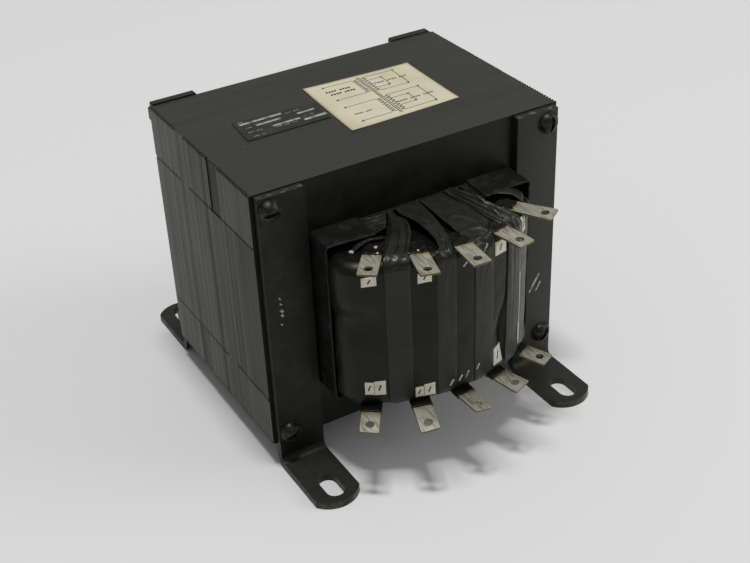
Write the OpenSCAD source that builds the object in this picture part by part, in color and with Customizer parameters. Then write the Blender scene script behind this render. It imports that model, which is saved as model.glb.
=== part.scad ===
// Open-frame power transformer: an interleaved stack of E and I steel plates, clamped by four
// through bolts between four L brackets, with one taped coil on the centre leg.
// +X points out of the terminal side, +Y to the right of someone facing the terminals, +Z up.
// The origin is on the floor, midway between the four mounting slots.

/* [Core] */
// Width of the centre leg of the E plates
tongue_w = 57.15; // [40:0.05:80]
// Width of each outer leg
leg_w = 28.575; // [18:0.005:45]
// Width of each window between centre leg and outer leg
window_w = 28.575; // [24:0.005:40]
// Height of each window
window_h = 85.725; // [70:0.005:120]
// Height of the top and bottom yokes
yoke_h = 28.575; // [20:0.005:45]
// Depth of the stack of plates
stack_d = 114.3; // [80:0.1:160]
// Number of packets that the stack is interleaved in
packet_count = 18; // [8:2:24]
// Height of the core's underside above the floor
core_lift = 13; // [10:0.5:25]
// Distance of each bolt from the core's side and from its top or bottom
bolt_inset = 8; // [7:0.1:12]

/* [Brackets] */
// Width of the bracket strip
bracket_w = 24.5; // [22:0.5:30]
// Thickness of the bracket strip
bracket_t = 4; // [2:0.02:6]
// Radius inside the bend
bend_r = 3.5; // [1:0.1:5]
// Step from the core's side to the bracket's edge
bracket_inset = 1.9; // [0:0.1:3]
// Reach of the foot from the face of the core to its tip
foot_reach = 46.2; // [43:0.1:70]
// Height of the arc that rounds the tip of the foot
tip_rise = 6.5; // [3:0.5:10]
// Width of the mounting slot
slot_w = 9.5; // [5:0.1:12]
// Length of the mounting slot from end to end
slot_l = 17.2; // [13:0.1:22]
// Distance of the slot's middle from the face of the core
slot_reach = 33.15; // [24:0.05:34]
// Step from the core's top down to the top of the front brackets
front_top_drop = 0.7; // [0:0.1:4]
// Step from the core's top up to the top of the rear brackets
rear_top_rise = 0.8; // [0:0.1:4]
// Radius of the top corners of a bracket
bracket_corner_r = 0.8; // [0.5:0.1:6]

/* [Bolts] */
// Diameter of the bolts
bolt_d = 6.35; // [4:0.05:8]
// Clearance all round a bolt in its holes
bolt_clear = 0.35; // [0.1:0.05:1]
// Diameter of the round head
head_d = 11; // [9:0.1:14]
// Height of the round head
head_h = 4; // [3:0.1:6]
// Width of the screwdriver slot
driver_w = 1.9; // [1:0.1:2.5]
// Depth of the screwdriver slot
driver_h = 2; // [1:0.1:3]
// Diameter of the washer under the head
washer_d = 12; // [12:0.1:15]
// Thickness of the washer
washer_t = 0.6; // [0.5:0.1:2]
// Width of the nut across its flats
nut_af = 11.1; // [9:0.1:13]
// Height of the nut
nut_h = 5.6; // [3:0.1:8]
// Length of thread that stands out of the nut
bolt_tail = 3; // [1:0.5:8]

/* [Coil] */
// Wall of the tube that the coil is wound on
former_t = 2.5; // [1:0.1:4]
// Clearance between the tube, the centre leg, the coil and the yokes
former_clear = 0.3; // [0.1:0.05:1]
// Thickness of the sheet that lines each window
liner_t = 0.8; // [0.4:0.1:2]
// Length of liner that stands out of the core at each end
liner_reach = 17.5; // [5:0.5:20]
// Gap between the coil and the liner
liner_gap = 0.7; // [0.3:0.1:2]
// Gap between the coil and the lower flap of the liner that it sits on
coil_seat = 0.1; // [0.05:0.05:0.5]
// Gap between the coil and the upper flap of the liner
coil_headroom = 3.6; // [2:0.1:8]
// Reach of the coil's crown from the face of the core
crown_reach = 46; // [40:0.5:60]
// Radius of the bowed front and rear of the coil
bow_r = 90; // [80:1:140]
// Radius of the coil's upright corners
corner_r = 16; // [8:0.5:20]
// Radius of the coil's top and bottom edges
edge_r = 4.5; // [3:0.5:6]

/* [Terminals] */
// Width of a terminal lug
lug_w = 9.5; // [6:0.1:12]
// Thickness of a terminal lug
lug_t = 1.2; // [0.8:0.1:2]
// Length of a terminal lug from end to end
lug_l = 28; // [26:0.5:32]
// Length of a typical lug that stands out past the coil
lug_out = 16.5; // [14:0.5:17]
// Diameter of the screw hole in a lug
lug_hole_d = 4.2; // [2.5:0.1:5.5]
// Distance of the hole from the tip of the lug
lug_hole_inset = 5; // [4:0.1:6]
// Distance from the side of the coil to the middle of the outer lugs
lug_margin = 11.5; // [9:0.1:16]
// Sideways shift of the upper row of lugs
upper_lug_shift = -0.4; // [-3:0.1:3]
// Sideways shift of the lower row of lugs
lower_lug_shift = -2.4; // [-3:0.1:3]

/* [Tape] */
// Gap between a tape band and the lugs on either side
tape_gap = 0.8; // [0.3:0.1:2]
// Thickness of a tape band
tape_t = 0.6; // [0.3:0.1:1.5]
// Gap between a tape band and the coil under it
tape_seat = 0.05; // [0.02:0.01:0.2]
// Length of each band that lies on the coil's top and underside
tape_lap = 36; // [16:1:38]

/* [Hidden] */
$fn = 64;
core_w = tongue_w + 2 * window_w + 2 * leg_w;
core_h = window_h + 2 * yoke_h;
core_top = core_lift + core_h;
window_z0 = core_lift + yoke_h;
window_z1 = window_z0 + window_h;
packet_t = stack_d / packet_count;
face_x = stack_d / 2;
bolt_hole_d = bolt_d + 2 * bolt_clear;
bolt_y = core_w / 2 - bolt_inset;
bolt_z = [core_lift + bolt_inset, core_top - bolt_inset];
slack = 1;

bracket_y = core_w / 2 - bracket_inset - bracket_w / 2;
bend_out_r = bend_r + bracket_t;
tip_r = (bracket_w * bracket_w / 4 + tip_rise * tip_rise) / (2 * tip_rise);

coil_z0 = window_z0 + liner_t + coil_seat;
coil_z1 = window_z1 - liner_t - coil_headroom;
coil_hw = tongue_w / 2 + window_w - liner_t - liner_gap;
crown_x = face_x + crown_reach;
bow_cx = crown_x - bow_r;
corner_y = coil_hw - corner_r;
corner_x = bow_cx + sqrt(pow(bow_r - corner_r, 2) - corner_y * corner_y);
corner_turn = atan2(corner_y, corner_x - bow_cx);
corner_steps = 6;
bow_steps = 14;
edge_steps = 4;

// Lugs bent by hand, left to right: turn to the side, and share of lug_out that stands out
upper_bend = [[-39, 0.55], [-17, 0.92], [-6, 1], [12, 1], [31, 0.82]];
lower_bend = [[-35, 1.04], [-18, 1.2], [2, 1.1], [14, 1.04], [26, 0.9]];
lower_droop = 5;
lug_count = len(upper_bend);
lug_pitch = 2 * (coil_hw - lug_margin) / (lug_count - 1);
// Turn of the screwdriver slots: lower left, lower right, upper left, upper right
driver_turns = [[25, 50], [5, 80]];

core_colour = "#41413d";
bracket_colour = "#262623";
bolt_colour = "#2b2b29";
tape_colour = "#1d1d1c";
paper_colour = "#1a1a18";
lug_colour = "#a3a28c";

// Core plates

// Outline of an E plate in Y and Z, its back at the bottom, before the I plate closes it
module e_outline() {
    difference() {
        translate([-core_w / 2, 0]) square([core_w, core_h - yoke_h]);
        for (side = [-1, 1])
            translate([side * (tongue_w + window_w) / 2 - window_w / 2, yoke_h])
                square([window_w, window_h + slack]);
        for (side = [-1, 1])
            translate([side * bolt_y, bolt_inset]) circle(d = bolt_hole_d);
    }
}

// Outline of the I plate that closes the E plate's legs
module i_outline() {
    difference() {
        translate([-core_w / 2, core_h - yoke_h]) square([core_w, yoke_h]);
        for (side = [-1, 1])
            translate([side * bolt_y, core_h - bolt_inset]) circle(d = bolt_hole_d);
    }
}

// Every second packet of the stack, starting from the given one
module packets(first) {
    for (k = [first : 2 : packet_count - 1])
        translate([-face_x + k * packet_t, 0, 0])
            rotate([90, 0, 90]) linear_extrude(height = packet_t) children();
}

module upright() {
    translate([0, 0, core_lift]) children();
}

module inverted() {
    translate([0, 0, core_top]) mirror([0, 0, 1]) children();
}

module e_plates_upright() {
    color(core_colour) upright() packets(0) e_outline();
}

module i_plates_top() {
    color(core_colour) upright() packets(0) i_outline();
}

module e_plates_inverted() {
    color(core_colour) inverted() packets(1) e_outline();
}

module i_plates_bottom() {
    color(core_colour) inverted() packets(1) i_outline();
}

// Brackets

// Side view of the bent strip in X and Z: the upright lies on the core's face at X = 0
module bracket_profile(top_z) {
    difference() {
        union() {
            translate([0, bend_out_r]) square([bracket_t, top_z - bend_out_r]);
            translate([bend_out_r, 0]) square([foot_reach - bend_out_r, bracket_t]);
            intersection() {
                translate([bend_out_r, bend_out_r]) circle(r = bend_out_r);
                square(bend_out_r);
            }
        }
        translate([bend_out_r, bend_out_r]) circle(r = bend_r);
    }
}

// Front view of the strip in Y and Z, with rounded top corners
module bracket_front(top_z) {
    inner_w = bracket_w - 2 * bracket_corner_r;
    translate([-inner_w / 2, 0]) square([inner_w, top_z]);
    translate([-bracket_w / 2, 0]) square([bracket_w, top_z - bracket_corner_r]);
    for (side = [-1, 1])
        translate([side * inner_w / 2, top_z - bracket_corner_r]) circle(r = bracket_corner_r);
}

// Plan of the strip in X and Y, with its rounded tip
module bracket_plan() {
    straight = foot_reach - tip_rise;
    translate([0, -bracket_w / 2]) square([straight, bracket_w]);
    intersection() {
        translate([foot_reach - tip_r, 0]) circle(r = tip_r);
        translate([0, -bracket_w / 2]) square([foot_reach, bracket_w]);
    }
}

module mounting_slot() {
    run = slot_l - slot_w;
    translate([slot_reach, 0, -slack]) {
        for (end = [-1, 1])
            translate([end * run / 2, 0, 0]) cylinder(d = slot_w, h = bracket_t + 2 * slack);
        translate([-run / 2, -slot_w / 2, 0]) cube([run, slot_w, bracket_t + 2 * slack]);
    }
}

// One bracket in its own frame: its back at X = 0, its strip centred on Y = 0
module bracket(top_z) {
    color(bracket_colour)
    difference() {
        intersection() {
            translate([0, bracket_w / 2 + slack, 0])
                rotate([90, 0, 0]) linear_extrude(height = bracket_w + 2 * slack) bracket_profile(top_z);
            translate([-slack, 0, 0])
                rotate([90, 0, 90]) linear_extrude(height = foot_reach + 2 * slack) bracket_front(top_z);
            translate([0, 0, -slack]) linear_extrude(height = top_z + 2 * slack) bracket_plan();
        }
        mounting_slot();
        children();
    }
}

module bracket_bolt_holes(side) {
    for (z = bolt_z)
        translate([-slack, side * (bolt_y - bracket_y), z])
            rotate([0, 90, 0]) cylinder(d = bolt_hole_d, h = bracket_t + 2 * slack);
}

module front_bracket(side) {
    translate([face_x, side * bracket_y, 0])
        bracket(core_top - front_top_drop) bracket_bolt_holes(side);
}

module rear_bracket(side) {
    mirror([1, 0, 0]) translate([face_x, side * bracket_y, 0])
        bracket(core_top + rear_top_rise) bracket_bolt_holes(side);
}

// Bolts, washers and nuts

head_x = face_x + bracket_t + washer_t;
nut_x = face_x + bracket_t;

// Half section of the round head, its flat side on Y = 0
module head_section() {
    dome_r = (head_d * head_d / 4 + head_h * head_h) / (2 * head_h);
    intersection() {
        translate([0, head_h - dome_r]) circle(r = dome_r, $fn = 128);
        square([head_d / 2, head_h]);
    }
}

// Bolt along X, its head in front, at the given side and level
module bolt(side, level) {
    shank_l = head_x + nut_x + nut_h + bolt_tail;
    color(bolt_colour)
    translate([head_x, side * bolt_y, bolt_z[level]]) {
        difference() {
            rotate([0, 90, 0]) rotate_extrude() head_section();
            rotate([driver_turns[level][side < 0 ? 0 : 1], 0, 0])
                translate([head_h - driver_h, -head_d / 2, -driver_w / 2])
                    cube([driver_h + slack, head_d, driver_w]);
        }
        rotate([0, -90, 0]) cylinder(d = bolt_d, h = shank_l);
    }
}

module bolt_washers() {
    color(bolt_colour)
    for (side = [-1, 1], z = bolt_z)
        translate([nut_x, side * bolt_y, z]) rotate([0, 90, 0]) difference() {
            cylinder(d = washer_d, h = washer_t);
            translate([0, 0, -slack]) cylinder(d = bolt_hole_d, h = washer_t + 2 * slack);
        }
}

module nut(side, level) {
    nut_hole_d = bolt_d + bolt_clear;
    color(bolt_colour)
    translate([-nut_x, side * bolt_y, bolt_z[level]]) rotate([0, -90, 0]) difference() {
        cylinder(d = nut_af / cos(30), h = nut_h, $fn = 6);
        translate([0, 0, -slack]) cylinder(d = nut_hole_d, h = nut_h + 2 * slack);
    }
}

// Coil

// Front half of the coil's plan, left to right, set in by the given distance
function front_plan(inset) = concat(
    [for (k = [0 : corner_steps])
        let (turn = -90 + k * (90 - corner_turn) / corner_steps)
        [corner_x + (corner_r - inset) * cos(turn), -corner_y + (corner_r - inset) * sin(turn)]],
    [for (k = [1 : bow_steps - 1])
        let (turn = -corner_turn + k * 2 * corner_turn / bow_steps)
        [bow_cx + (bow_r - inset) * cos(turn), (bow_r - inset) * sin(turn)]],
    [for (k = [0 : corner_steps])
        let (turn = corner_turn + k * (90 - corner_turn) / corner_steps)
        [corner_x + (corner_r - inset) * cos(turn), corner_y + (corner_r - inset) * sin(turn)]]
);

function coil_plan(inset) = concat(front_plan(inset), [for (p = front_plan(inset)) -p]);

// Rise of the coil's wall as pairs of inset and Z, from underside to top, with round edges
coil_wall = concat(
    [for (k = [0 : edge_steps])
        let (turn = 90 * k / edge_steps)
        [edge_r * (1 - sin(turn)), coil_z0 + edge_r * (1 - cos(turn))]],
    [for (k = [0 : edge_steps])
        let (turn = 90 * k / edge_steps)
        [edge_r * (1 - cos(turn)), coil_z1 - edge_r * (1 - sin(turn))]]
);

module coil_block() {
    rings = [for (w = coil_wall) [for (p = coil_plan(w[0])) [p[0], p[1], w[1]]]];
    n = len(rings[0]);
    m = len(rings);
    points = [for (ring = rings) each ring];
    walls = [for (j = [0 : m - 2], i = [0 : n - 1])
        [j * n + i, (j + 1) * n + i, (j + 1) * n + (i + 1) % n, j * n + (i + 1) % n]];
    floor_face = [for (i = [0 : n - 1]) i];
    top_face = [for (i = [n - 1 : -1 : 0]) (m - 1) * n + i];
    polyhedron(points, concat(walls, [floor_face, top_face]));
}

former_in_x = face_x + former_clear;
former_in_y = tongue_w / 2 + former_clear;
former_out_x = former_in_x + former_t;
former_out_y = former_in_y + former_t;

module upright_block(half_x, half_y, z0, z1) {
    translate([-half_x, -half_y, z0]) cube([2 * half_x, 2 * half_y, z1 - z0]);
}

module winding() {
    color(tape_colour)
    difference() {
        coil_block();
        upright_block(former_out_x + former_clear, former_out_y + former_clear,
            coil_z0 - slack, coil_z1 + slack);
    }
}

module coil_former() {
    color(paper_colour)
    difference() {
        upright_block(former_out_x, former_out_y, window_z0 + former_clear, window_z1 - former_clear);
        upright_block(former_in_x, former_in_y, window_z0, window_z1);
    }
}

// Channel of sheet round the outer side, top and bottom of one window
module window_liner(side) {
    wall_y = tongue_w / 2 + window_w;
    flap_w = wall_y - former_out_y - former_clear;
    reach = face_x + liner_reach;
    color(paper_colour)
    mirror([0, side < 0 ? 1 : 0, 0])
    translate([-reach, 0, 0]) rotate([90, 0, 90]) linear_extrude(height = 2 * reach) difference() {
        translate([wall_y - flap_w, window_z0]) square([flap_w, window_h]);
        translate([wall_y - flap_w - slack, window_z0 + liner_t])
            square([flap_w + slack - liner_t, window_h - 2 * liner_t]);
    }
}

// Terminals

// Lug in its own frame: it crosses the coil's edge at the origin, pointing along +X, and droops past it
module lug(out, droop) {
    root = lug_l - out;
    tip = [out * cos(droop), -out * sin(droop)];
    rise = lug_t * [sin(droop), cos(droop)];
    miter = lug_t * tan(droop / 2);
    difference() {
        translate([0, lug_w / 2, 0]) rotate([90, 0, 0]) linear_extrude(height = lug_w)
            polygon([[-root, 0], [0, 0], tip, tip + rise, [miter, lug_t], [-root, lug_t]]);
        rotate([0, droop, 0]) translate([out - lug_hole_inset, 0, -slack])
            cylinder(d = lug_hole_d, h = lug_t + 2 * slack, $fn = 32);
    }
}

function lug_y(i, shift) = (i - (lug_count - 1) / 2) * lug_pitch + shift;
function bow_x(y) = bow_cx + sqrt(bow_r * bow_r - y * y);

module upper_terminal(i) {
    y = lug_y(i, upper_lug_shift);
    color(lug_colour)
    translate([bow_x(y), y, coil_z1]) rotate(upper_bend[i][0]) lug(upper_bend[i][1] * lug_out, 0);
}

module lower_terminal(i) {
    y = lug_y(i, lower_lug_shift);
    color(lug_colour)
    translate([bow_x(y), y, coil_z0]) rotate(lower_bend[i][0])
        mirror([0, 0, 1]) lug(lower_bend[i][1] * lug_out, -lower_droop);
}

// Tape bands that fit between the lugs, from the coil's top over its front to its underside

// Angles about the bow's centre of the ends of one edge of a lug, where it lies over the coil
function lug_edge_turns(y, bend, side) =
    [for (along = [bend[1] * lug_out - lug_l, 0])
        let (turn = bend[0], across = side * lug_w / 2)
        atan2(y + along * sin(turn) + across * cos(turn),
            bow_x(y) - bow_cx + along * cos(turn) - across * sin(turn))];

// Angle that the upper and lower lug i reach on one side
function lug_edge_turn(i, side) =
    let (turns = concat(lug_edge_turns(lug_y(i, upper_lug_shift), upper_bend[i], side),
        lug_edge_turns(lug_y(i, lower_lug_shift), lower_bend[i], side)))
    side > 0 ? max(turns) : min(turns);

tape_gap_turn = atan(tape_gap / (bow_r - tape_lap));
tape_columns = 4;

// Tape line as pairs of inset and Z, raised off the coil's wall
function tape_line(raise) = concat(
    [[tape_lap, coil_z0 - raise]],
    [for (k = [0 : edge_steps])
        let (turn = 90 * k / edge_steps)
        [edge_r - (edge_r + raise) * sin(turn), coil_z0 + edge_r - (edge_r + raise) * cos(turn)]],
    [for (k = [0 : edge_steps])
        let (turn = 90 * k / edge_steps)
        [edge_r - (edge_r + raise) * cos(turn), coil_z1 - edge_r + (edge_r + raise) * sin(turn)]],
    [[tape_lap, coil_z1 + raise]]
);

// Band between lug i and the next one
module tape_band(i) {
    turn_0 = lug_edge_turn(i, 1) + tape_gap_turn;
    turn_1 = lug_edge_turn(i + 1, -1) - tape_gap_turn;
    columns = [for (c = [0 : tape_columns]) turn_0 + (turn_1 - turn_0) * c / tape_columns];
    under = tape_line(tape_seat);
    over = tape_line(tape_seat + tape_t);
    half = len(under);
    loop = concat(under, [for (k = [half - 1 : -1 : 0]) over[k]]);
    n = len(loop);
    points = [for (turn = columns, p = loop)
        [bow_cx + (bow_r - p[0]) * cos(turn), (bow_r - p[0]) * sin(turn), p[1]]];
    walls = [for (c = [0 : tape_columns - 1], k = [0 : n - 1])
        [c * n + k, (c + 1) * n + k, (c + 1) * n + (k + 1) % n, c * n + (k + 1) % n]];
    left_side = [for (k = [0 : half - 2]) [k + 1, n - 2 - k, n - 1 - k, k]];
    right_side = [for (k = [0 : half - 2])
        [for (m = [k, n - 1 - k, n - 2 - k, k + 1]) tape_columns * n + m]];
    color(tape_colour) polyhedron(points, concat(walls, left_side, right_side));
}

module front_tape(i) {
    tape_band(i);
}

module rear_tape(i) {
    mirror([1, 0, 0]) tape_band(i);
}

e_plates_upright();
i_plates_top();
e_plates_inverted();
i_plates_bottom();
front_bracket(-1);  // front_left_bracket
front_bracket(1);  // front_right_bracket
rear_bracket(-1);  // rear_left_bracket
rear_bracket(1);  // rear_right_bracket
bolt(-1, 1);  // top_left_bolt
bolt(1, 1);  // top_right_bolt
bolt(-1, 0);  // bottom_left_bolt
bolt(1, 0);  // bottom_right_bolt
bolt_washers();
nut(-1, 1);  // top_left_nut
nut(1, 1);  // top_right_nut
nut(-1, 0);  // bottom_left_nut
nut(1, 0);  // bottom_right_nut
coil_former();
winding();
window_liner(-1);  // left_window_liner
window_liner(1);  // right_window_liner
for (i = [0 : lug_count - 1]) {
    upper_terminal(i);
    lower_terminal(i);
}
for (i = [0 : lug_count - 2]) {
    front_tape(i);
    rear_tape(i);
}
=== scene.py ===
"""Looks of an open-frame power transformer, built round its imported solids.

Lengths are millimetres of the row frame: +X out of the terminal side, +Y to the right, +Z up.
"""

import math
import random

import bpy
from mathutils import Matrix, Vector, noise


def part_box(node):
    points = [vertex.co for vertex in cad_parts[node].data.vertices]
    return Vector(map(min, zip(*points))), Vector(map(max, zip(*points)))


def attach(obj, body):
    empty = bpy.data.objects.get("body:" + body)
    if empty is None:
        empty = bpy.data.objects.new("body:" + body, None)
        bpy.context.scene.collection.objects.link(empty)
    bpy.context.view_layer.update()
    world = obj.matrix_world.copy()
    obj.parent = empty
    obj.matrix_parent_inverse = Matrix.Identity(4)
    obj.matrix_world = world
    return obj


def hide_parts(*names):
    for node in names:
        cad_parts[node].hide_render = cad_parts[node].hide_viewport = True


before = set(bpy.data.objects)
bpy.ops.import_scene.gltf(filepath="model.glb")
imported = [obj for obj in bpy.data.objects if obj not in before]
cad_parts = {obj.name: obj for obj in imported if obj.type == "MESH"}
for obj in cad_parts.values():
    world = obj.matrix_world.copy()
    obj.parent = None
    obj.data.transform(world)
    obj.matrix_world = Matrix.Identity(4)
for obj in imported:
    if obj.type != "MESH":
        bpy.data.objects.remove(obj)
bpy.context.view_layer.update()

# Coil former
# A square tube of dark pressboard that slides over the middle leg of the core and carries the winding.
# It is folded from sheet and varnished, and its cut upper edge shows between the core and the tape.
MM = 0.001
WARM = (0.98, 1.0, 0.87)
BOARD_BROWN = (0.012, 0.008, 0.006)
BOARD_BLACK = (0.004, 0.004, 0.004)


def span(*nodes):
    """Lowest and highest corner, in millimetres, of the space that the named solids fill together."""
    boxes = [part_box(node) for node in nodes]
    low = [min(box[0][axis] for box in boxes) / MM for axis in range(3)]
    high = [max(box[1][axis] for box in boxes) / MM for axis in range(3)]
    return low, high


class Finish:
    """A material whose shader is fed with the factors and colours that the methods make."""

    def __init__(self, name, roughness, metallic=0.0, shine=0.5):
        self.material = bpy.data.materials.new(name)
        self.material.use_nodes = True
        self.tree = self.material.node_tree
        self.shader = self.tree.nodes["Principled BSDF"]
        self.feed(self.shader, {"Roughness": roughness, "Metallic": metallic,
                                "Specular IOR Level": shine, "Specular Tint": WARM})

    def feed(self, node, inputs):
        """Sets a node's inputs to numbers and colours, or joins them to what other nodes put out."""
        for name, value in inputs.items():
            socket = node.inputs[name]
            if isinstance(value, bpy.types.NodeSocket):
                self.tree.links.new(value, socket)
            else:
                socket.default_value = (*value, 1.0) if socket.type == "RGBA" else value

    def add(self, kind, output, inputs, **settings):
        """Adds a node, its settings first because they decide which inputs count."""
        node = self.tree.nodes.new(f"ShaderNode{kind}")
        for name, value in settings.items():
            setattr(node, name, value)
        self.feed(node, inputs)
        return node.outputs[output]

    def grain(self, scale, low, high, stretch=(1, 1, 1), detail=4.0):
        """A factor that clouds over the surface from 0 to 1, with about `scale` patches to the metre."""
        place = self.add("TexCoord", "Object", {})
        place = self.add("Mapping", "Vector", {"Vector": place, "Scale": stretch})
        cloud = self.add("TexNoise", 0, {"Vector": place, "Scale": scale, "Detail": detail})
        return self.add("MapRange", "Result", {"Value": cloud, "From Min": low, "From Max": high})

    def factor(self, value):
        """A factor as it is, or made from the values of a grain."""
        return value if isinstance(value, bpy.types.NodeSocket) else self.grain(*value)

    def part_of(self, source, axis, low, high, signed=True):
        """A factor that runs from 0 to 1 as one part of the normal or the place goes from low to high."""
        whole = self.add("NewGeometry" if source == "Normal" else "TexCoord", source, {})
        part = self.add("SeparateXYZ", axis, {"Vector": whole})
        if not signed:
            part = self.add("Math", 0, {0: part}, operation="ABSOLUTE")
        return self.add("MapRange", "Result", {"Value": part, "From Min": low, "From Max": high})

    def marked(self, attribute):
        """The factor that a mesh carries in one of its own attributes."""
        return self.add("Attribute", "Fac", {}, attribute_name=attribute)

    def times(self, product, *factors):
        for factor in factors:
            inputs = {0: product, 1: self.factor(factor)}
            product = self.add("Math", 0, inputs, operation="MULTIPLY", use_clamp=True)
        return product

    def layered(self, colour, *layers):
        """A colour with others over it, each as strong as the factor in front of it."""
        for factor, over in layers:
            colour = self.add("Mix", 2, {0: self.factor(factor), 6: colour, 7: over}, data_type="RGBA")
        return colour

    def ranged(self, factor, low, high):
        """A number that runs from low to high with the factor, for roughness or shine."""
        return self.add("MapRange", "Result", {"Value": self.factor(factor), "To Min": low, "To Max": high})

    def paint(self, colour, roughness=None, relief=None):
        """Feeds the shader; roughness is a factor and two ends, relief a factor and its depth."""
        self.feed(self.shader, {"Base Color": colour})
        if roughness:
            self.feed(self.shader, {"Roughness": self.ranged(*roughness)})
        if relief:
            height, depth = relief
            bump = self.add("Bump", "Normal", {"Height": self.factor(height), "Distance": depth * MM})
            self.feed(self.shader, {"Normal": bump})
        return self


def bevel(piece, width, segments, angle):
    rounded = piece.modifiers.new("eased", "BEVEL")
    rounded.width = width * MM
    rounded.segments = segments
    rounded.limit_method = "ANGLE"
    rounded.angle_limit = math.radians(angle)
    return rounded


def ease_edges(piece, width, *finishes):
    """Rounds the sharp edges of a solid; with a second finish, the rounding itself wears that one."""
    piece.data.materials.clear()
    for finish in finishes:
        piece.data.materials.append(finish.material)
    welded = piece.modifiers.new("joined", "WELD")
    welded.merge_threshold = 0.002 * MM
    bevel(piece, width, 3, 40).material = 1 if len(finishes) > 1 else -1
    piece.modifiers.new("shaded", "WEIGHTED_NORMAL")
    piece.data.shade_smooth()


board = Finish("varnished_pressboard", 0.55, shine=0.25)
fibre = board.grain(900, 0.42, 0.62, stretch=(1, 1, 0.2))
board.paint(board.layered(BOARD_BLACK, (fibre, BOARD_BROWN)), (fibre, 0.42, 0.62), (fibre, 0.12))
ease_edges(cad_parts["coil_former"], 0.4, board)

# Winding
# Copper wire wound in layers on the former and wrapped in black varnished tape. The tape goes round
# through the coil's middle, so on the front each turn is an upright band that laps over the last one.
coil_low, coil_high = span("winding")
former_high = span("coil_former")[1]
BOW_R = 90.0
CORNER_R = 16.0
EDGE_R = 4.5
COIL_HALF = coil_high[1]
BOW_X = coil_high[0] - BOW_R
CORNER_Y = COIL_HALF - CORNER_R
CORNER_X = BOW_X + math.sqrt((BOW_R - CORNER_R) ** 2 - CORNER_Y ** 2)
BOW_TURN = math.atan2(CORNER_Y, CORNER_X - BOW_X)
BOW_L = BOW_R * BOW_TURN
TURN_L = BOW_L + CORNER_R * (math.pi / 2 - BOW_TURN)
WALL_L = coil_high[2] - coil_low[2] - 2 * EDGE_R
HOLLOW = 3.0
TAPE_BLACK = (0.0018, 0.0018, 0.0016)
TAPE_DUSTY = (0.0052, 0.0052, 0.0047)
TAPE_UP_SHEEN = (0.0145, 0.0145, 0.0135)
TAPE_LIT_RIGHT = (0.019, 0.019, 0.0172)
LEFT_BULGE = 2.8
CREASE_DEEP = 1.6
PINCH_DEEP = 3.8
PINCH_RIGHT = 25.4
CORNER_TIGHT = 4.2


def rim(girth, end=1):
    """Outline of the coil and its outward direction, by the distance from the middle of one end."""
    side = 1 if girth >= 0 else -1
    reach = abs(girth)
    if reach <= BOW_L:
        turn = reach / BOW_R
        x = BOW_X + BOW_R * math.cos(turn)
        y = BOW_R * math.sin(turn)
    elif reach <= TURN_L:
        turn = BOW_TURN + (reach - BOW_L) / CORNER_R
        x = CORNER_X + CORNER_R * math.cos(turn)
        y = CORNER_Y + CORNER_R * math.sin(turn)
    else:
        turn = math.pi / 2
        x = CORNER_X - (reach - TURN_L)
        y = COIL_HALF
    return Vector((end * x, side * y, 0)), Vector((end * math.cos(turn), side * math.sin(turn), 0))


def former_line(girth, end=1):
    """Point of the former's outline that a fold of tape at this place of the rim comes from."""
    side = 1 if girth >= 0 else -1
    if abs(girth) <= TURN_L:
        return Vector((end * former_high[0], former_high[1] * girth / TURN_L, 0))
    left = 1 - (abs(girth) - TURN_L) / CORNER_X
    return Vector((end * former_high[0] * left, side * former_high[1], 0))


def bump_at(value, middle, width):
    return math.exp(-((value - middle) / width) ** 2)


def past(value, edge, width):
    """A soft step from 0 to 1 where the value passes the edge."""
    return 1 / (1 + math.exp((edge - value) / width))


def eased(share):
    share = min(max(share, 0), 1)
    return share ** 2 * (3 - 2 * share)


def swell(girth, point, end):
    """How far the taped surface bulges out or sinks in at a point of the plain coil."""
    rise = 0.9 * noise.noise(point * 0.035 + Vector((4, 9, 2))) + 0.25 * noise.noise(point * 0.12)
    if end < 0:
        return rise
    height = point.z - coil_low[2]
    # A bulge over the left end above a crease, and a deep pinch between two bands on the right
    rise += LEFT_BULGE * past(height, 54 + 0.12 * (girth + 58), 3.0) * bump_at(girth, -56, 14)
    rise -= CREASE_DEEP * bump_at(height, 47, 9) * bump_at(girth, -58, 12)
    pinch_left = 15.5 + 9.5 * past(height, 36, 3.5)
    if girth < PINCH_RIGHT + 0.1:
        into = min(max((girth - pinch_left) / (PINCH_RIGHT - pinch_left), 0), 1)
        rise -= PINCH_DEEP * into ** 1.4 * bump_at(height, 23, 15)
    # The right corner was pulled tight, so it is slimmer than the left one
    return rise - CORNER_TIGHT * bump_at(girth, 60, 15)


def coil_skin(girth, way, end=1, crest=None):
    """Point on the wrapped coil and its outward direction.

    way runs 0 to 1 from the former out over the top, to 2 round the upper edge, to 3 down the wall,
    to 4 round the lower edge and to 5 back to the former underneath.
    """
    outline, out = rim(girth, end)
    inner = former_line(girth, end)
    bend = outline - EDGE_R * out
    up = Vector((0, 0, 1))
    top, foot = up * coil_high[2], up * coil_low[2]
    if way < 1:
        start = inner + (top if crest is None else up * crest)
        point, facing = start.lerp(bend + top, way), up
    elif way < 2:
        turn = (way - 1) * math.pi / 2
        facing = out * math.sin(turn) + up * math.cos(turn)
        point = bend + top + EDGE_R * (facing - up)
    elif way < 3:
        point, facing = outline + top - (EDGE_R + (way - 2) * WALL_L) * up, out
    elif way < 4:
        turn = (way - 3) * math.pi / 2
        facing = out * math.cos(turn) - up * math.sin(turn)
        point = bend + foot + EDGE_R * (facing + up)
    else:
        point, facing = (bend + foot).lerp(inner + foot, way - 4), -up
    share = 0.15 + 0.85 * eased(way - 1) - 0.65 * eased(way - 3)
    return point + facing * swell(girth, point, end) * share, facing


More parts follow.
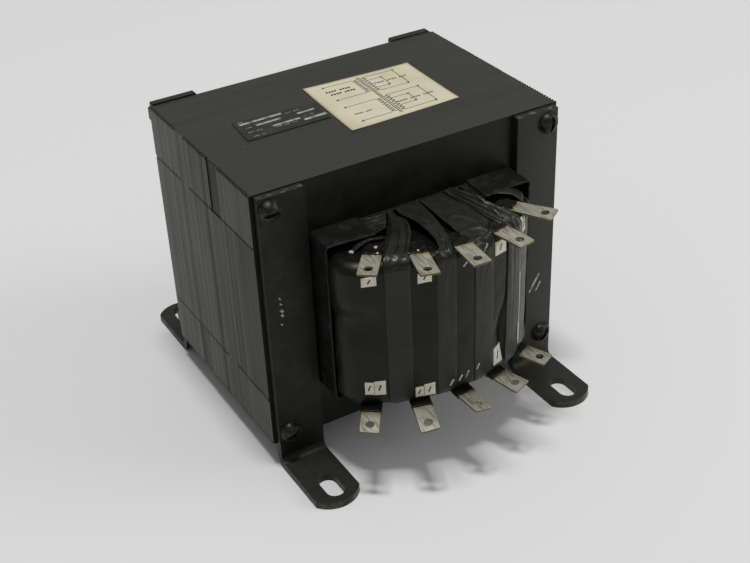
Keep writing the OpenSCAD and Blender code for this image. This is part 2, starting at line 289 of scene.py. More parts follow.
def add_piece(name, shape, finishes, stands_for=(), smooth=True, thickness=0.0):
    """A mesh piece from a shape in millimetres, which rides on the body and may stand for solids.

    A shape is a list of points and a list of faces; a thin one gets its thickness behind its faces.
    """
    points, faces = shape
    mesh = bpy.data.meshes.new(name)
    mesh.from_pydata([Vector(point) * MM for point in points], [], faces)
    mesh.validate()
    mesh.update()
    for finish in finishes:
        mesh.materials.append(finish.material)
    if smooth:
        mesh.shade_smooth()
    piece = bpy.data.objects.new(name, mesh)
    bpy.context.scene.collection.objects.link(piece)
    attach(piece, "root")
    if stands_for:
        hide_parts(*stands_for)
    if thickness:
        thick = piece.modifiers.new("thick", "SOLIDIFY")
        thick.thickness = thickness * MM
        thick.offset = -1.0
    return piece


def net(rows, columns, closed_rows=False, closed_columns=False):
    """Faces that join a grid of points stored row by row."""
    faces = []
    for r in range(rows if closed_rows else rows - 1):
        for c in range(columns if closed_columns else columns - 1):
            a, b = r * columns, (r + 1) % rows * columns
            d = (c + 1) % columns
            faces.append((a + c, a + d, b + d, b + c))
    return faces


def grid(firsts, seconds, surface):
    """The shape of a surface over two runs of values."""
    points = [surface(first, second) for first in firsts for second in seconds]
    return points, net(len(firsts), len(seconds))


def tube(rings):
    """The shape through rings of points, with closed ends."""
    count = len(rings[0])
    last = (len(rings) - 1) * count
    faces = net(len(rings), count, closed_columns=True)
    faces += [tuple(reversed(range(count))), tuple(range(last, last + count))]
    return [point for ring in rings for point in ring], faces


def flipped(shape):
    points, faces = shape
    return points, [face[::-1] for face in faces]


def joined(shapes):
    points, faces = [], []
    for more_points, more_faces in shapes:
        faces += [tuple(len(points) + i for i in face) for face in more_faces]
        points += more_points
    return points, faces


def steps(low, high, count):
    return [low + (high - low) * k / count for k in range(count + 1)]


def around(count):
    return [2 * math.pi * k / count for k in range(count)]


def over_coil(*counts):
    """Values of the way over the coil, with the number of steps in each of its parts."""
    return [part + k / count for part, count in enumerate(counts) for k in range(count)] + [len(counts)]


def tape_finish(name, lying_colour, smooth, rough, shine):
    finish = Finish(name, rough, shine=shine)
    # Faces turned up take the lying colour in patches: dust on the plain tape, a painted sheen on the strips.
    lying = finish.times(finish.part_of("Normal", "Z", 0.35, 0.95), (110, 0.2, 0.6))
    # The coil's right half is painted paler: painted light from the right.
    on_right = finish.part_of("Object", "Y", -0.02, 0.05)
    colour = finish.layered(TAPE_BLACK, ((60, 0.45, 0.75), TAPE_DUSTY), (on_right, TAPE_LIT_RIGHT),
                            (lying, lying_colour))
    return finish.paint(colour, ((300, 0.35, 0.7, (1, 1, 0.3)), smooth, rough), ((160, 0.3, 0.7), 0.08))


tape = tape_finish("black_tape", TAPE_DUSTY, 0.3, 0.46, 0.24)
# The strips' paler up-facing tone is a painted sheen.
strip_tape = tape_finish("strip_tape", TAPE_UP_SHEEN, 0.32, 0.44, 0.38)

COIL_REACH = TURN_L + CORNER_X
front_girths = (steps(-COIL_REACH, -TURN_L - 12, 8) + steps(-TURN_L - 10, TURN_L + 10, 130)
                + steps(TURN_L + 12, COIL_REACH, 8))
girths = [(girth, 1) for girth in front_girths] + [(-girth, -1) for girth in front_girths[1:-1]]
ways = over_coil(20, 6, 58, 6, 12)
wrap_points = [coil_skin(girth, way, end, coil_high[2] - HOLLOW)[0] for way in ways for girth, end in girths]
wrap_faces = net(len(ways), len(girths), closed_rows=True, closed_columns=True)
add_piece("coil_wrap", flipped((wrap_points, wrap_faces)), [tape], ["winding"])


def on_curve(stations, way):
    """The values between a strip's stations, on a smooth curve through them."""
    k = 0
    while k < len(stations) - 2 and way > stations[k + 1][0]:
        k += 1
    near, far = stations[k], stations[k + 1]
    before, after = stations[max(k - 1, 0)], stations[min(k + 2, len(stations) - 1)]
    length = far[0] - near[0]
    t = (way - near[0]) / length
    values = []
    for i in range(1, len(near)):
        leave = (far[i] - before[i]) / (far[0] - before[0]) * length
        arrive = (after[i] - near[i]) / (after[0] - near[0]) * length
        values.append((2 * t ** 3 - 3 * t ** 2 + 1) * near[i] + (t ** 3 - 2 * t ** 2 + t) * leave
                      + (3 * t ** 2 - 2 * t ** 3) * far[i] + (t ** 3 - t ** 2) * arrive)
    return values


def fold_height(across, way, seed, pleats=0.0):
    """Height of the long folds and sharp creases that run down a strip of tape."""
    soft = noise.noise(Vector((across * 2.1 + seed, way * 1.3, seed * 0.7)))
    ridge = 1 - min(abs(noise.noise(Vector((across * 1.7 - seed, way * 1.5, 4 + seed)))) * 5, 1)
    small = noise.noise(Vector((across * 5 + seed, way * 4, 9 + seed)))
    pleat = 1 - abs(2 * ((across * pleats + 0.5 * soft) % 1) - 1) if pleats else 0
    return 0.8 * soft + 0.8 * ridge ** 1.5 + 0.08 * small - 0.2 + 1.3 * pleat


def crush_height(point):
    """Height of creases that run all ways, where tape was squeezed together."""
    wide = 1 - min(abs(noise.noise(point * 0.13)) * 4, 1)
    narrow = 1 - min(abs(noise.noise(point * 0.26 + Vector((7, 1, 3)))) * 4, 1)
    return 0.9 * wide ** 1.5 + 0.45 * narrow ** 1.5 - 0.35


def strip(stations, end, crest, cells, seed, pleats=0.0):
    """The shape of a strip of tape over the coil.

    A station holds the way, the girth and lift of both edges, and the heights of folds and creases.
    """
    first, last = stations[0][0], stations[-1][0]
    rows = [way for way in over_coil(56, 14, 60, 10, 24) if first <= way <= last]
    points = []
    for way in rows:
        start, stop, lift_from, lift_to, folds, crush = on_curve(stations, way)
        for s in steps(0, 1, cells):
            point, facing = coil_skin(start + (stop - start) * s, way, end, crest)
            stuck = max(abs(2 * s - 1) - 0.8, 0) * 5
            lift = lift_from + (lift_to - lift_from) * s - 0.12 * stuck + crush * crush_height(point)
            lift += folds * fold_height(s, way, seed, pleats) * (1 - 0.6 * stuck)
            points.append(point + facing * lift)
    shape = points, net(len(rows), cells + 1)
    return shape if end > 0 else flipped(shape)


TAPE_T = 0.28
BAND_LIFTS = (0.26, 0.36)
BAND_EDGES = [(-84, -38), (-31, -13), (-8, 7), (13, 28), (33, 47), (44, 62)]
REAR_BAND_EDGES = [(-66, -44), (-50, -26), (-30, -8), (-12, 11), (7, 29), (25, 49), (44, 66)]
BAND_CREST = coil_high[2] - HOLLOW + 0.4
bands = []
for end, all_edges in ((1, BAND_EDGES), (-1, REAR_BAND_EDGES)):
    for k, (start, stop) in enumerate(all_edges):
        lift = BAND_LIFTS[k % 2]
        stations = [(0.5, start * 1.05, stop * 1.05, 0.1, 0.1, 0.2, 0.3),
                    (1.0, start, stop, lift, lift, 0.2, 0.3), (1.5, start, stop, lift, lift, 0.2, 0.2),
                    (2.0, start, stop, lift, lift, 0.12, 0.05),
                    (2.5, start + 0.5, stop - 0.4, lift, lift, 0.06, 0),
                    (3.0, start, stop, lift, lift, 0.1, 0), (4.0, start, stop, lift, lift, 0.2, 0.1),
                    (4.8, start, stop, 0.1, 0.1, 0.2, 0.1)]
        bands.append(strip(stations, end, BAND_CREST, 18, stop))
add_piece("coil_bands", joined(bands), [tape], thickness=TAPE_T)

# Terminal lugs
# Flat strips of tinned brass, riveted to the winding's leads inside the coil and brought out between
# the turns of tape. Each was punched with one round hole and bent to its direction by hand.
LUG_W = 9.5
LUG_T = 1.2
LUG_L = 28.0
LUG_OUT = 16.5
LUG_HOLE_R = 2.1
LUG_HOLE_INSET = 5.0
LUG_PITCH = 2 * (COIL_HALF - 11.5) / 4
UPPER_SHIFT = -0.4
LOWER_SHIFT = -2.4
LOWER_DROOP = 5.0
UPPER_BEND = [(-39, 0.55), (-17, 0.92), (-6, 1.0), (12, 1.0), (31, 0.82)]
LOWER_BEND = [(-35, 1.04), (-18, 1.2), (2, 1.1), (14, 1.04), (26, 0.9)]
TIN = (0.48, 0.47, 0.39)
TIN_WORN = (0.25, 0.243, 0.195)
BRASS = (0.36, 0.32, 0.17)
BRASS_CUT_SHADED = (0.13, 0.115, 0.06)
FLUX_AMBER = (0.26, 0.17, 0.03)
FLUX_RED = (0.30, 0.075, 0.02)
# Where each lug comes out from under the tape, measured from the coil's edge
UPPER_SHOWN = [-7.3, -4.0, -1.8, -0.5, -7.2]
LOWER_SHOWN = [4.2, 4.0, 3.6, 2.6, 1.0]
STAIN_L = 3.0
COVER_W = 14.0
WRAP_HALF_W = 5.2
WRAP_HALF_H = 1.1
RED_BASES = (("upper", 3), ("upper", 4))
SPOKES = 32
TIP_CUT = 0.12
LUG_BEVEL = 0.16
SHARP_ANGLE = 50
HOLE_EDGE = 0.25

tin = Finish("tinned_brass", 0.42, metallic=0.45)
cloud = tin.grain(180, 0.4, 0.8)
scratch = tin.grain(420, 0.56, 0.6, stretch=(0.2, 2.0, 1), detail=1.0)
stained = tin.times(tin.marked("base"), (350, 0.38, 0.55))
flux = tin.layered(FLUX_AMBER, (tin.marked("red_base"), FLUX_RED))
# Upright faces, the cut thickness of each lug, show brass painted dark: the brass is the metal's own, the
# darkness is painted shade.
on_edge = tin.part_of("Normal", "Z", 0.75, 0.45, signed=False)
colour = tin.layered(TIN, (cloud, TIN_WORN), (scratch, TIN_WORN), (tin.marked("cut_edge"), BRASS),
                     (on_edge, BRASS_CUT_SHADED), (stained, flux))
tin.paint(colour, (cloud, 0.36, 0.55), (scratch, 0.03))


def lug_shape(out, visible, wobble):
    """Shape of one lug along +X, and its marks for cut edges and for the stained base."""
    half = LUG_W / 2
    hole_x = out - LUG_HOLE_INSET
    border = []
    for i, turn in enumerate(around(SPOKES)):
        side, across = math.cos(turn), math.sin(turn)
        reach_x = LUG_HOLE_INSET if side > 0 else half
        scale = min(reach_x / max(abs(side), 1e-6), half / max(abs(across), 1e-6))
        x, y = side * scale, across * scale
        if i % 8 == 4:
            x, y = math.copysign(reach_x, side), math.copysign(half, across)
        if i in (4, 28):
            x, y = x - TIP_CUT, math.copysign(half - TIP_CUT, y)
        border.append((hole_x + x, y))
    hole, edge = ([(hole_x + r * math.cos(turn), r * math.sin(turn)) for turn in around(SPOKES)]
                  for r in (LUG_HOLE_R, LUG_HOLE_R + HOLE_EDGE))
    middle = [((a[0] + b[0]) / 2, (a[1] + b[1]) / 2) for a, b in zip(edge, border)]
    flat = hole + edge + middle + border
    faces = net(4, SPOKES, closed_columns=True)
    # The rest of the strip, in columns from the nine spokes on the root's side
    root = range(12, 21)
    join = [3 * SPOKES + i for i in root]
    for x in steps(border[16][0], out - LUG_L, 14)[1:]:
        fresh = [len(flat) + i for i in range(len(root))]
        flat += [(x, border[i][1]) for i in root]
        faces += [(join[i], join[i + 1], fresh[i + 1], fresh[i]) for i in range(8)]
        join = fresh
    edges = [pair for face in faces for pair in zip(face, face[1:] + face[:1])]
    inner = set(edges)
    open_edges = [pair for pair in edges if pair[::-1] not in inner]
    size = len(flat)
    points = []
    for level in (LUG_T, 0.0):
        for x, y in flat:
            curl = wobble[0] * 0.004 * max(x, 0) ** 2 + wobble[1] * 0.012 * y * max(x, 0)
            points.append((x, y, level + curl))
    solid = [face[::-1] for face in faces] + [tuple(i + size for i in face) for face in faces]
    solid += [(a, b, b + size, a + size) for a, b in open_edges]
    rim_points = {i for pair in open_edges for i in pair}
    edge_mark = [0.45 if i % size in rim_points else 0.0 for i in range(2 * size)]
    base_mark = [min(max((visible - point[0]) / STAIN_L, 0.0), 1.0) for point in points]
    return (points, solid), edge_mark, base_mark


def lug_place(row, i):
    """Where a lug crosses the edge of the coil, as a turn and a shift of its own frame."""
    bends, shift = (UPPER_BEND, UPPER_SHIFT) if row == "upper" else (LOWER_BEND, LOWER_SHIFT)
    y = (i - 2) * LUG_PITCH + shift
    x = BOW_X + math.sqrt(BOW_R ** 2 - y ** 2)
    turned = Matrix.Rotation(math.radians(bends[i][0]), 4, "Z")
    if row == "upper":
        return Matrix.Translation((x, y, coil_high[2])) @ turned
    drooped = Matrix.Rotation(math.radians(LOWER_DROOP), 4, "Y")
    return Matrix.Translation((x, y, coil_low[2])) @ turned @ drooped @ Matrix.Translation((0, 0, -LUG_T))


def lug_patch(i, start, stop):
    """A patch of tape pressed down over the root of a lug, from start to stop along it."""

    def place(x, y):
        over = past(LUG_W / 2 + 0.5, abs(y), 0.35)
        fold = fold_height(y / COVER_W + 0.5, x * 0.09, 3.0 * i + 40)
        ragged = 0.8 * noise.noise(Vector((y * 0.5, i * 7.0, 1))) * (x - start) / (stop - start)
        return x + ragged, y, -0.3 + (LUG_T + 0.55) * over + 0.45 * fold

    return grid(steps(start, stop, 18), steps(-COVER_W / 2, COVER_W / 2, 24), place)


def lug_wrap(i, stop):
    """A sleeve of tape wound round the root of a lug."""
    ring = [(WRAP_HALF_W * math.copysign(abs(math.cos(a)) ** 0.35, math.cos(a)),
             WRAP_HALF_H * math.copysign(abs(math.sin(a)) ** 0.6, math.sin(a))) for a in around(28)]
    rings = []
    for x in steps(-3.0, stop, 10):
        swollen = 1.0 + 0.1 * noise.noise(Vector((x * 0.5, i * 5.0, 2)))
        rings.append([(x + 0.5 * noise.noise(Vector((y, z, i * 3.0))), y * swollen,
                       LUG_T / 2 + z * swollen * (1.15 - 0.03 * x)) for y, z in ring])
    return tube(rings)


def placed(shape, place):
    points, faces = shape
    return [place @ Vector(point) for point in points], faces


def note(piece, attribute, values):
    """Stores one number for each point of a piece's mesh, for its finish to read."""
    layer = piece.data.attributes.new(attribute, "FLOAT", "POINT")
    layer.data.foreach_set("value", values)


hand = random.Random(11)
for row, bends, shown in (("upper", UPPER_BEND, UPPER_SHOWN), ("lower", LOWER_BEND, LOWER_SHOWN)):
    covers = []
    for i, (_, share) in enumerate(bends):
        out = LUG_OUT * share
        wobble = (hand.uniform(-1, 1), hand.uniform(-1, 1))
        shape, edge_mark, base_mark = lug_shape(out, shown[i] + STAIN_L, wobble)
        place = lug_place(row, i)
        lug = add_piece(f"{row}_lug_{i + 1}", placed(shape, place), [tin],
                        [f"{row}_terminal_{i + 1}"])
        note(lug, "cut_edge", edge_mark)
        note(lug, "base", base_mark)
        note(lug, "red_base", [1.0 if (row, i) in RED_BASES else 0.0] * len(base_mark))
        bevel(lug, LUG_BEVEL, 2, SHARP_ANGLE)
        lug.data.set_sharp_from_angle(angle=math.radians(SHARP_ANGLE))
        cover = lug_patch(i, out - LUG_L - 2, shown[i]) if row == "upper" else lug_wrap(i, shown[i])
        covers.append(placed(cover, place))
    add_piece(f"{row}_lug_covers", joined(covers), [tape],
              thickness=TAPE_T if row == "upper" else 0.0)

# Tape strips
# Wider strips of the same tape, pulled from the former over the top between the lugs, down the front
# and under, to hold the leads. They are stuck by hand, so they fan out, lap and crumple.
FRONT_STRIPS = [
    [(0.0, -35, -29, 0.2, 0.3, 0.2, 0.0), (0.15, -34.5, -26.5, 0.3, 0.6, 0.3, 0.1),
     (0.33, -36, -20.6, 0.6, 1.4, 0.5, 0.1), (0.56, -38, -21.3, 0.9, 1.9, 0.6, 0.1),
     (0.8, -39.3, -25, 1.3, 1.7, 0.6, 0.2), (1.0, -40, -27.6, 1.8, 1.8, 0.6, 0.3),
     (1.35, -40.6, -28.3, 2.2, 1.9, 0.5, 0.4), (1.65, -40.6, -28.3, 1.8, 1.5, 0.4, 0.3),
     (1.95, -40.5, -28.3, 0.7, 0.65, 0.2, 0.1), (2.5, -40.2, -28.3, 0.6, 0.55, 0.08, 0.0),
     (3.0, -40, -28.3, 0.6, 0.55, 0.1, 0.0), (4.0, -39, -28, 0.6, 0.55, 0.3, 0.1),
     (4.8, -36, -25, 0.3, 0.3, 0.2, 0.1)],
    [(0.0, -25, 3, 0.4, 0.4, 0.2, 0.0), (0.16, -21.9, 2.6, 0.7, 0.5, 0.3, 0.1),
     (0.27, -17.7, 2, 1.1, 0.6, 0.4, 0.1), (0.42, -13.8, 0.9, 1.4, 0.8, 0.5, 0.1),
     (0.77, -10.9, -2, 1.6, 1.0, 0.6, 0.2), (1.0, -12, -4.4, 1.4, 1.2, 0.6, 0.6),
     (1.25, -14.7, -5.6, 1.2, 1.1, 0.5, 0.8), (1.5, -15.9, -5.7, 1.0, 0.9, 0.4, 0.6),
     (2.05, -15.8, -5.7, 0.7, 0.6, 0.25, 0.2), (2.5, -15.8, -5.7, 0.6, 0.55, 0.08, 0.0),
     (3.0, -15.8, -5.8, 0.6, 0.55, 0.1, 0.0), (4.0, -15.5, -6, 0.6, 0.5, 0.3, 0.1),
     (4.8, -15, -6, 0.3, 0.3, 0.2, 0.1)],
    [(0.0, 3.8, 40, 0.6, 0.5, 0.2, 0.0), (0.11, 4, 37.9, 0.8, 0.6, 0.3, 0.0),
     (0.52, 3.5, 30.4, 1.3, 0.9, 0.5, 0.0), (0.8, 3.3, 25.5, 1.5, 1.1, 0.6, 0.3),
     (0.95, 3.3, 23, 1.5, 1.2, 0.5, 0.9), (1.15, 3.3, 20.5, 1.3, 1.2, 0.5, 1.2),
     (1.5, 4.2, 17.6, 1.0, 0.9, 0.6, 0.8), (2.05, 4.7, 16.4, 0.7, 0.6, 0.35, 0.2),
     (2.5, 4.7, 16.4, 0.6, 0.55, 0.08, 0.0), (3.0, 4.8, 16.6, 0.6, 0.55, 0.1, 0.0),
     (4.0, 5, 16.6, 0.6, 0.55, 0.3, 0.1), (4.8, 6, 17, 0.3, 0.3, 0.2, 0.1)],
    [(0.0, 33, 44, 0.8, 1.6, 0.7, 0.0), (0.12, 31.5, 43, 1.0, 1.9, 0.9, 0.0),
     (0.48, 27.5, 40.5, 1.5, 2.4, 1.3, 0.1), (0.9, 25.5, 38.4, 1.6, 2.2, 1.2, 0.2),
     (1.3, 25.2, 38.3, 1.4, 1.7, 0.8, 0.3), (1.67, 25.7, 38.3, 1.1, 1.2, 0.4, 0.1),
     (2.05, 26, 38.4, 1.0, 0.9, 0.2, 0.0), (2.5, 25.8, 37.6, 0.9, 0.8, 0.12, 0.0),
     (2.8, 25.8, 37.5, 0.8, 0.7, 0.1, 0.0), (3.0, 25.8, 37.5, 0.6, 0.6, 0.1, 0.0),
     (4.0, 26, 37, 0.6, 0.6, 0.3, 0.1), (4.8, 26, 36, 0.3, 0.3, 0.2, 0.1)],
]
STRIP_PLEATS = [1.4, 0, 0, 3.2]
TAIL = [(1.75, -40.0, -28.9, 1.9, 1.6, 0.1, 0.1), (2.05, -40.0, -28.9, 1.0, 0.95, 0.1, 0.0),
        (2.4, -39.9, -28.8, 0.9, 0.85, 0.06, 0.0), (2.58, -39.7, -28.6, 0.9, 0.9, 0.06, 0.0)]
REAR_STRIP_MIDDLES = [-34, -11, 11, 34]
CREST = former_high[2] - 0.4
LOOSE_T = 0.4
REAR_STRIP_HALF_W = 6
REAR_STRIP_RUN = [(0.0, 0.9, 0.3, 0.2, 0.1), (0.5, 0.95, 1.0, 0.5, 0.3), (1.0, 1.0, 1.2, 0.5, 0.7),
                  (1.4, 1.0, 1.2, 0.4, 0.7), (2.1, 1.0, 0.65, 0.3, 0.1), (3.0, 1.0, 0.6, 0.15, 0.0),
                  (4.0, 1.0, 0.6, 0.3, 0.1), (4.8, 0.9, 0.3, 0.2, 0.1)]
for i, stations in enumerate(FRONT_STRIPS):
    add_piece(f"front_strip_{i + 1}", strip(stations, 1, CREST, 28, 3.0 * i, STRIP_PLEATS[i]), [strip_tape],
              [f"front_tape_{i + 1}"], thickness=TAPE_T)
add_piece("strip_tail", strip(TAIL, 1, CREST, 20, 1.0), [strip_tape], thickness=LOOSE_T)
for i, middle in enumerate(REAR_STRIP_MIDDLES):
    stations = []
    for way, drawn, lift, folds, crush in REAR_STRIP_RUN:
        girth = middle * drawn
        stations.append((way, girth - REAR_STRIP_HALF_W, girth + REAR_STRIP_HALF_W, lift, lift, folds, crush))
    add_piece(f"rear_strip_{i + 1}", strip(stations, -1, CREST, 18, 20.0 + i), [strip_tape],
              [f"rear_tape_{i + 1}"], thickness=TAPE_T)

# A loose fold stands up as a hood over the root of the last upper lug
HOOD_EDGE = [(0.0, 73.0, 28.6, 124.6), (0.25, 73.7, 34.0, 126.6), (0.5, 77.3, 38.9, 127.4),
             (0.75, 80.5, 43.0, 126.6), (1.0, 84.9, 45.7, 124.2)]
HOOD_BACK = [(0.0, 68.0, 29.5, 124.8), (0.25, 68.5, 36.0, 125.4), (0.5, 69.5, 43.0, 125.6),
             (0.75, 71.0, 49.0, 125.2), (1.0, 76.0, 52.0, 123.4)]


def on_hood(t, s):
    bow = 1.2 * math.sin(math.pi * s) * math.sin(math.pi * t)
    point = Vector(on_curve(HOOD_BACK, t)).lerp(Vector(on_curve(HOOD_EDGE, t)), s) + Vector((0, 0, bow))
    return point + Vector((0, 0, 0.5 * (1 - 0.7 * s) * crush_height(point * 1.5)))


hood = grid(steps(0, 1, 40), steps(0, 1, 14), on_hood)
add_piece("tape_hood", hood, [strip_tape], thickness=LOOSE_T)

# Lead
# A winding's lead in a flattened black sleeve, laid over the root of the first lug and under the first
# strip. Drops of varnish and a slip of paper insulation lie beside the roots.
SLEEVE_PATH = [(0.0, 78.8, -47.4, 124.2), (0.2, 76.7, -43.4, 124.7), (0.4, 75.6, -38.8, 125.3),
               (0.6, 75.6, -34.8, 125.6), (0.8, 76.4, -31.6, 125.4), (1.0, 76.7, -27.8, 124.9)]
SLEEVE_HALF_W = 1.55
SLEEVE_HALF_H = 0.95
SLIP_T = 0.2
COTTON = (0.42, 0.36, 0.26)
PAPER_CREAM = (0.70, 0.665, 0.55)
PAPER_SOILED = (0.50, 0.45, 0.32)
AMBER = (0.50, 0.40, 0.10)
DROPS = [((81.4, -35.5, 124.2), 1.1), ((86.5, -37.5, 124.4), 0.8), ((94.0, -25.9, 123.8), 1.2),
         ((95.2, -25.5, 123.0), 0.9), ((95.0, -21.0, 124.4), 0.8), ((99.3, -14.5, 122.4), 0.7),
         ((101.6, -4.2, 122.2), 0.6)]


def flat_tube(path, half_w, half_h, start, stop, rows):
    rings = []
    for t in steps(start, stop, rows):
        middle = Vector(on_curve(path, t))
        ahead = Vector(on_curve(path, t + 0.01)) - Vector(on_curve(path, t - 0.01))
        across = Vector((0, 0, 1)).cross(ahead).normalized()
        above = ahead.cross(across).normalized()
        rough = 1 + 0.12 * noise.noise(middle * 0.6)
        rings.append([middle + across * half_w * rough * math.cos(a) + above * half_h * rough * math.sin(a)
                      for a in around(16)])
    return tube(rings)


def clouded(name, first, second, patches, roughness, shine=0.5, metallic=0.0, relief=None):
    """A finish that clouds from one colour to another; a roughness of two values follows the clouds."""
    finish = Finish(name, roughness[0], metallic, shine)
    cloud = finish.grain(*patches)
    rough = (cloud, *roughness) if len(roughness) > 1 else None
    return finish.paint(finish.layered(first, (cloud, second)), rough, relief)


def drop(middle, size):
    rings = []
    for t in steps(0.12, math.pi - 0.12, 7):
        rings.append([])
        for a in around(12):
            way_out = Vector((math.sin(t) * math.cos(a), math.sin(t) * math.sin(a), math.cos(t)))
            lumpy = size * (0.85 + 0.5 * noise.noise(way_out * 1.7 + middle))
            rings[-1].append(middle + way_out * lumpy)
    return flipped(tube(rings))


sleeve = flat_tube(SLEEVE_PATH, SLEEVE_HALF_W, SLEEVE_HALF_H, 0.06, 1.0, 40)
add_piece("lead_sleeve", sleeve, [tape])
cotton = clouded("cotton_covering", COTTON, PAPER_SOILED, (900, 0.35, 0.65), [0.8], shine=0.2)
tip = flat_tube(SLEEVE_PATH, 0.8 * SLEEVE_HALF_W, 0.7 * SLEEVE_HALF_H, 0.0, 0.1, 6)
add_piece("lead_tip", tip, [cotton])
amber = clouded("varnish_drop", AMBER, PAPER_CREAM, (700, 0.35, 0.65), [0.3])
add_piece("varnish_drops", joined([drop(Vector(middle), size) for middle, size in DROPS]), [amber])
paper = clouded("cream_paper", PAPER_CREAM, PAPER_SOILED, (130, 0.5, 0.8), [0.62, 0.78], shine=0.3,
                relief=((1800, 0.3, 0.7), 0.02))
slip = grid(steps(0, 1, 10), steps(-1, 1, 4), lambda t, s: (
    82.3 + 4.3 * t + 0.8 * s, 29.0 + 4.7 * t - 0.8 * s, 124.6 + 0.3 * math.sin(5 * t) + 0.15 * s))
add_piece("paper_slip", slip, [paper], thickness=SLIP_T)

# Window liners
# Black insulating paper folded to a channel that lines the outer leg of each core window. It stands
# out past both faces of the core, and its flaps are pressed down on the coil.
LINER_BLACK = (0.004, 0.004, 0.0035)
LINER_SCUFF = (0.02, 0.02, 0.018)
LINER_T = 0.8
FOLD_R = 1.6
FLAP_W = 26.0
GATHER_T = 0.35
CREASE_H = 0.6
# Outer and inner end of the back edge and of the front edge, number of creases, seed of their drift
GATHERS = {
    "left": ([(58.2, -34.0, 126.3), (60.2, -17.0, 127.3), (73.6, -34.0, 125.9), (70.5, -22.8, 125.6)], 6, 4),
    "right": ([(57.8, 33.5, 126.3), (59.4, 25.8, 127.2), (73.8, 33.5, 126.0), (75.2, 26.2, 125.8)], 7, 5),
}

liner_paper = Finish("liner_paper", 0.5, shine=0.24)
fibre = liner_paper.grain(1200, 0.4, 0.65)
liner_paper.paint(liner_paper.layered(LINER_BLACK, ((150, 0.5, 0.8), LINER_SCUFF)),
                  (fibre, 0.42, 0.58), (fibre, 0.05))
core_low, core_high = span("e_plates_upright", "e_plates_inverted", "i_plates_top", "i_plates_bottom")


def liner_shape(low, high, side):
    wall_y = max(abs(low[1]), abs(high[1]))
    top_z, low_z = high[2], low[2]
    flap = [(wall_y - FLAP_W + (FLAP_W - FOLD_R) * k / 16, top_z) for k in range(16)]
    flap += [(wall_y - FOLD_R + FOLD_R * math.sin(a), top_z - FOLD_R + FOLD_R * math.cos(a))
             for a in steps(0, math.pi / 2, 6)]
    wall = [(wall_y, z) for z in steps(top_z - FOLD_R, low_z + FOLD_R, 44)[1:-1]]
    profile = flap + wall + [(y, low_z + top_z - z) for y, z in reversed(flap)]

    def place(x, corner):
        y, z = corner
        free = min(max(abs(x) - core_high[0], 0) / 6, 1)
        wave = noise.noise(Vector((x, y * side, z)) * 0.06 + Vector((side * 5, 0, 0)))
        inward = 0.5 * free * (wave - 0.6) if abs(z - top_z) > 3 else 0
        sag = -1.3 * free * max(0, (wall_y - y - 6) / FLAP_W) if z > top_z - 1 else 0
        return x, side * (y + inward), z + sag + 0.3 * free * wave

    return grid(steps(low[0], core_low[0], 16) + [0] + steps(core_high[0], high[0], 16), profile, place)


def gather_shape(corners, creases, seed):
    """The flap's inner end, gathered in creases that grow towards the tape."""
    back_out, back_in, front_out, front_in = (Vector(corner) for corner in corners)

    def place(u, v):
        point = back_out.lerp(back_in, v).lerp(front_out.lerp(front_in, v), u)
        drift = 0.5 * noise.noise(Vector((u * 3, v * 2.5, seed)))
        crease = 1 - abs(2 * ((u * creases + drift) % 1) - 1)
        grown = min(v * 1.8, 1) * (0.6 + 0.5 * noise.noise(Vector((u * 9, v * 3, 5))))
        point += Vector((0, 0, CREASE_H * grown * crease - 0.3 * v * (1 - v)))
        return point + Vector((0.5 * noise.noise(point * 0.4), 0.6 * v * noise.noise(point * 0.5), 0))

    return grid(steps(0, 1, 60), steps(0, 1, 24), place)


for name, side in (("left", -1), ("right", 1)):
    liner = liner_shape(*span(f"{name}_window_liner"), side)
    add_piece(f"{name}_liner", liner if side > 0 else flipped(liner), [liner_paper],
              [f"{name}_window_liner"], thickness=LINER_T)
for name, (corners, creases, seed) in GATHERS.items():
    gather = gather_shape(corners, creases, seed)
    add_piece(f"{name}_liner_gather", gather if name == "right" else flipped(gather), [liner_paper],
              thickness=GATHER_T)

# Paper markers
# Slips of cream paper, one beside each lug that was marked, stuck on the tape. Each has one plain
# stroke on it. The edge of a longer paper strip shows beside the last band of tape.
MARKERS = [(-50.8, -44.0, 118.4, 113.6), (-25.0, -18.2, 116.2, 110.8), (17.2, 24.6, 119.2, 111.8),
           (-51.6, -47.4, 57.4, 50.0), (-47.2, -41.6, 57.8, 49.6), (-27.2, -23.2, 51.4, 45.6),
           (-22.9, -17.3, 52.2, 45.4), (17.3, 24.1, 57.8, 47.4), (39.4, 43.5, 121.6, 114.0)]
PAPER_STRIP = [(36.9, 93.5, 0.35), (37.3, 85.0, 0.4), (37.6, 74.0, 0.45), (37.7, 64.5, 0.5),
               (37.9, 62.0, 1.1), (37.8, 54.0, 1.2), (37.4, 50.5, 0.5)]
INK = (0.02, 0.02, 0.018)
INK_THIN = (0.09, 0.085, 0.07)
MARKER_LIFT = 0.5
MARK_LIFT = 0.56
STRIP_LIFT = 0.6
MARKER_T = 0.4
MARK_T = 0.06


def cover_lift(girth):
    """How far the outermost layer of tape on the front wall lies above the wrapped coil."""
    lifts = [BAND_LIFTS[k % 2] for k, (start, stop) in enumerate(BAND_EDGES) if start < girth < stop]
    for stations in FRONT_STRIPS:
        start, stop, lift_from, lift_to = on_curve(stations, 2.5)[:4]
        if start < girth < stop:
            lifts += [lift_from, lift_to]
    return max(lifts, default=0.0)


def on_wall(girth, z, lift):
    """Point on the taped front at a height, with the given lift above the tape there."""
    over = (z - coil_high[2] + EDGE_R) / EDGE_R
    under = (coil_low[2] + EDGE_R - z) / EDGE_R
    if over > 0:
        way = 1 + math.acos(min(over, 1)) * 2 / math.pi
    elif under > 0:
        way = 3 + math.asin(min(under, 1)) * 2 / math.pi
    else:
        way = 2 - over * EDGE_R / WALL_L
    point, facing = coil_skin(girth, way)
    return point + facing * (cover_lift(girth) + lift)


